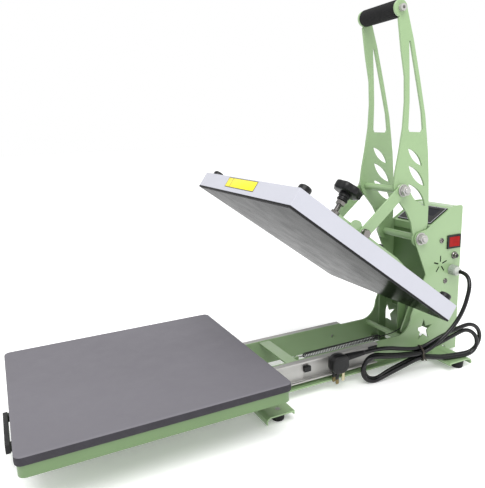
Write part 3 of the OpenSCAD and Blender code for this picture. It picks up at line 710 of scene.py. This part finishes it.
# Levels of the pad from its lower edge to the middle of its top. The top's material starts at
# TOP_BAND.
PAD_LEVELS = [(2.5, 97.05), (0.9, 97.3), (0.35, 98.4), (0.1, 100.5), (0, 103.5), (0.1, 106.7),
              (0.3, 109), (0.55, 110.1), (1.1, 111), (2.0, 111.6), (3.4, 111.95), (6, 112.1),
              (14, 112.14), (40, 112.1), (90, 112.06), (150, 112.04)]
TOP_BAND = 7
PAD_STEPS, PAD_EXTRA = 9, 24
band = 4 * (PAD_STEPS + PAD_EXTRA)
under = band * (len(PAD_LEVELS) - 1)
pad = slab("foam_pad_cover", PLATEN_W, PLATEN_D, 12, PAD_LEVELS, MACHINE @ PAD_MID,
           [M["pad_side"], M["pad_foam"]], "drawer", "pad_foam", steps=PAD_STEPS, extra=PAD_EXTRA,
           smooth=60, pick=lambda i: int(i >= band * TOP_BAND and i != under))
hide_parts("foam_pad")


# ---------- opening spring ----------

def make_spring():
    """A coil whose end wires run out to the two pins and hook over them."""
    x = 40
    pitch, r, wire = 4.1, 5.4, 1.05
    y0, y1, z0 = 117, 322, 70.5
    steps_a_turn, run_in = 16, 20
    front = [(102.2, 63.9), (98, 64.1), (94.2, 66.2), (93.2, 70), (95.4, 73.4), (99.5, 74),
             (103, 72.2), (108, 70.8), (113, 70.5)]
    rear = [(326, 70.7), (340, 71.4), (360, 73.4), (378, 78), (384, 80), (389, 78), (390, 74),
            (387.4, 70.8), (383, 70.4), (380.2, 73)]
    line = smooth_line([(x, y, z) for y, z in front], step=1.2, passes=2)
    turns = (y1 - y0) / pitch
    n = int(turns * steps_a_turn)
    for i in range(n + 1):
        a = 2 * math.pi * turns * i / n
        y = y0 + (y1 - y0) * i / n
        grow = r * min(1, i / run_in, (n - i) / run_in)
        line.append(Vector((x + grow * math.sin(a), y, z0 + grow * math.cos(a))))
    line += smooth_line([(x, y, z) for y, z in rear], step=1.5, passes=2)
    ob = tube("spring_coil", line, wire, MACHINE, M["spring_steel"], None, "black_steel", seg=7)
    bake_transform(ob)
    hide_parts("opening_spring")


make_spring()


# ---------- pressure knob and rod ----------

ROD_Y = -226
ROD_AT = (0, ROD_Y, 0)
CHROME = "chrome"


def make_knob():
    """A head of seven lobes with a cap in its top, on a ribbed hub."""
    r = 32
    lobes, depth, lobes_from = 7, 0.082, 17
    ribs, rib_h, ribs_from, ribs_to = 12, 0.02, 9, 15
    at = (0, ROD_Y, 118.5)

    def lobed(a, z):
        return 1 - (depth * (1 - math.cos(lobes * a)) / 2 if z > lobes_from else 0)

    def ribbed(a, z):
        return 1 + (rib_h * math.cos(ribs * a) if ribs_from < z < ribs_to else 0)

    head = [(16.6, 12), (17.2, 0.72 * r), (17.6, 0.85 * r), (18.8, 0.95 * r), (21, r), (32.6, r),
            (34.8, 0.97 * r), (36.4, 0.9 * r), (37, 0.8 * r), (36.9, 0.7 * r), (36, 0.62 * r),
            (35.6, 0.42 * r), (35.6, 0.34 * r), (36.4, 0.33 * r), (36.7, 0.3 * r), (36.7, 0.4)]
    own = (PLATEN, *on("knob", "black_plastic"))
    k = lathe("knob_head", at, "Z", head, *own, seg=168, shape=lobed, smooth=40)
    hub = [(0, 11.2), (0.6, 12.2), (3, 12.6), (4, 12.2), (4.6, 11.4), (8, 11.2), (8.6, 12),
           (9.4, 12.9), (12, 13), (14, 13), (17, 12.8)]
    lathe("knob_hub", at, "Z", hub, *own, seg=96, shape=ribbed)
    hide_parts("pressure_knob")


make_knob()
rod = threaded("rod_thread", ROD_AT, "Z", 39.9, 131.9, 6, PLATEN, *on(BODY["pressure_rod"], CHROME))
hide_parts("pressure_rod")
nuts = [hex_nut(f"rod_nut_{z}", ROD_AT, "Z", z, z + 9, 19, 5.7, PLATEN,
                *on(BODY["rod_nuts"], CHROME)) for z in (84, 109)]
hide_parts("rod_nuts")


# ---------- bolts ----------

BOLT_R, BOLT_FLATS = 6, 19


def through_bolt(node, y, z, head0, bar1, nut1, washer_r, washers):
    """Head at -X, shank, washers, nut and the thread standing out of it at +X."""
    nut_h = 9.7
    head1, thread0 = head0 + 7.5, nut1 - 11
    own = (MACHINE, *on(BODY[node], SLOT[node]))
    c = (0, y, z)
    first = hex_nut(node + "_head", c, "X", head0, head1, BOLT_FLATS, 0, *own, (True, False))
    lathe(node + "_shank", c, "X", [(head1 - 0.1, BOLT_R), (thread0, BOLT_R)], *own)
    threaded(node + "_thread", c, "X", thread0, bar1, BOLT_R, *own)
    hex_nut(node + "_nut", c, "X", nut1 - nut_h, nut1, BOLT_FLATS, BOLT_R - 0.3, *own)
    for i, (a0, a1) in enumerate(washers):
        washer(f"{node}_washer_{i}", c, "X", a0, a1, washer_r, BOLT_R + 0.1, *own)
    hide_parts(node)


through_bolt("main_pivot_bolt", 409, 289, -73.5, 78, 75.5, 14, ((-65.6, -63.2), (63.2, 65.6)))
through_bolt("link_top_bolt", 354, 399.8, -75.5, 79, 77, 13,
             ((-67.6, -64.4), (64.4, 67), (-59.8, -58.2), (58.2, 59.8)))

for side, tag in ((-1, "left"), (1, "right")):
    own = (mirrored(side), *on(BODY["link_bottom_bolts"], CHROME))
    c = (0, 254.8, 319.3)
    hex_nut(f"link_bolt_head_{tag}", c, "X", 66.2, 73, 17, 0, *own, (False, True))
    lathe(f"link_bolt_shank_{tag}", c, "X", [(59.9, 4.2), (60.4, 5), (66.3, 5)], *own)
    washer(f"link_bolt_washer_{tag}", c, "X", 64.2, 66, 10, 5.05, *own)
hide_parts("link_bottom_bolts")


def cross_screw(name, at, axis, z0, r, where, mat, body, slot):
    """A pan head with a cross recess, as a height field on a polar grid."""
    seg, height = 64, 3.4
    rim, recess, arm_half = 0.32, 0.6, 0.13
    turn = [(math.cos(2 * math.pi * k / seg), math.sin(2 * math.pi * k / seg)) for k in range(seg)]
    rings = [[(r * ca, r * sa, z0) for ca, sa in turn]]
    for s in (1.0, 0.96, 0.9, 0.8, 0.7, 0.62, 0.58, 0.5, 0.4, 0.3, 0.22, 0.14, 0.05):
        ring = []
        for ca, sa in turn:
            x, y = r * s * ca, r * s * sa
            z = z0 + height * (math.sqrt(max(0, 1 - (s * 0.93) ** 2)) if s < 1 else rim)
            if s < recess and min(abs(x), abs(y)) < r * arm_half:
                z -= height * 0.55 * (1 - s * 0.8)
            ring.append((x, y, z))
        rings.append(ring)
    v, f = grid(rings)
    return piece(name, v, f, placed(where, at, axis), mat, body, smooth=30)


for side, tag in ((-1, "l"), (1, "r")):
    for i, (y, z) in enumerate(((471.5, 277), (488, 180.4))):
        cross_screw(f"column_screw_{tag}{i}", (0, y, z), "X", 63.02, 6,
                                  mirrored(side), *on("base", CHROME))
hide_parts("column_screws")


# ---------- upper platen details ----------

def frame_strip(name, w0, d0, w1, d1, z0, z1, c, where, mat, body, slot):
    """A rectangular ring, outer size w1 by d1 and inner w0 by d0."""
    corners = ((1, 1), (-1, 1), (-1, -1), (1, -1))
    section = ((w0, d0, z0), (w1 - c, d1 - c, z0), (w1, d1, z0 + c), (w1, d1, z1 - c),
               (w1 - c, d1 - c, z1), (w0, d0, z1), (w0, d0, z0))
    rings = [[(sx * w / 2, sy * d / 2, z) for sx, sy in corners] for w, d, z in section]
    v, f = grid(rings, cap=(False, False))
    return piece(name, v, f, where, mat, body, smooth=30)


# A near black strip round the heat plate's edge: painted shade in the gap between the plate and the
# cover.
frame_strip("heat_seal", PLATEN_W - 7.8, PLATEN_D - 7.8, PLATEN_W - 0.6, PLATEN_D - 0.6, 0.4, 4.0,
            0.6, PLATEN @ PAD_MID, *on("platen", "black_rubber"))

# A plain label on the platen's front face: a dark edge, a yellow field and one dark line.
FRONT = PLATEN @ Matrix.Translation((-7, -PLATEN_D, 23.6)) @ Matrix.Rotation(math.pi / 2, 4, "X")
for name, mat, x, w, d, r, steps, levels in (
        ("blank_label_edge", "label_black", 0, 128, 22, 1.6, 3, [(0, 0.02), (0, 0.3), (0.15, 0.34)]),
        ("blank_label", "label_yellow", 0, 125, 19.4, 0.9, 3, [(0, 0.2), (0, 0.42), (0.1, 0.46)]),
        ("blank_label_bar", "label_black", -42, 1.0, 19.4, 0.2, 2, [(0, 0.3), (0, 0.5)])):
    slab(name, w, d, r, levels, FRONT @ Matrix.Translation((x, 0, 0)),
         *on("platen", "black_plastic", mat), steps=steps)


# ---------- controller ----------

LINE_W = 1.4
frame_strip("screen_border", 104 - 2 * LINE_W, 56 - 2 * LINE_W, 104, 56, 2.9, 3.25, 0.1, SLOPE,
            *on("base", CHROME, "silver_line"))


# ---------- slides ----------

# A black end stop on each middle member, and a thin buffer at the rear of each outer one.
for side, tag in ((-1, "l"), (1, "r")):
    block(f"slide_lever_{tag}", (66.4, 101.2, 51), (74.2, 116.4, 62.6), 0.8, mirrored(side),
          *on("slide_mid", "black_plastic"))
    block(f"slide_bumper_{tag}", (64.55, 268, 54), (65.8, 292, 69.4), 0.4, mirrored(side), *BLACK)


# ---------- floor, light ----------

def make_stage():
    """A wide white floor, an even white surround and one soft key light."""
    n, r = 64, 14
    angles = [2 * math.pi * k / n for k in range(n)]
    me = bpy.data.meshes.new("floor")
    me.from_pydata([(0, 0, 0)] + [(r * math.cos(a), r * math.sin(a), 0) for a in angles], [],
                   [(0, 1 + k, 1 + (k + 1) % n) for k in range(n)])
    floor = bpy.data.objects.new("floor", me)
    scene.collection.objects.link(floor)
    mat = bpy.data.materials.new("floor_white")
    mat.use_nodes = True
    bsdf = mat.node_tree.nodes["Principled BSDF"]
    for key, value in (("Base Color", (0.97, 0.97, 0.97, 1)), ("Roughness", 0.9),
                       ("Specular IOR Level", 0.1), ("Emission Color", (1, 1, 1, 1)),
                       ("Emission Strength", 0.18)):
        bsdf.inputs[key].default_value = value
    me.materials.append(mat)
    world = bpy.data.worlds.new("studio")
    scene.world = world
    world.use_nodes = True
    bg = world.node_tree.nodes["Background"]
    bg.inputs["Color"].default_value = (1, 1, 1, 1)
    bg.inputs["Strength"].default_value = 1.0

    key = bpy.data.lights.new("key", "AREA")
    key.shape = "DISK"
    key.size = 2.6
    key.energy = 88
    lamp = bpy.data.objects.new("key", key)
    scene.collection.objects.link(lamp)
    at, target = Vector((1.3, -0.5, 2.9)), Vector((0, 0, 0.2))
    lamp.location = at
    lamp.rotation_euler = (target - at).to_track_quat("-Z", "Y").to_euler()
    scene.view_settings.view_transform = "Standard"
    scene.view_settings.look = "None"
    scene.view_settings.exposure = 0
    scene.view_settings.gamma = 1


make_stage()
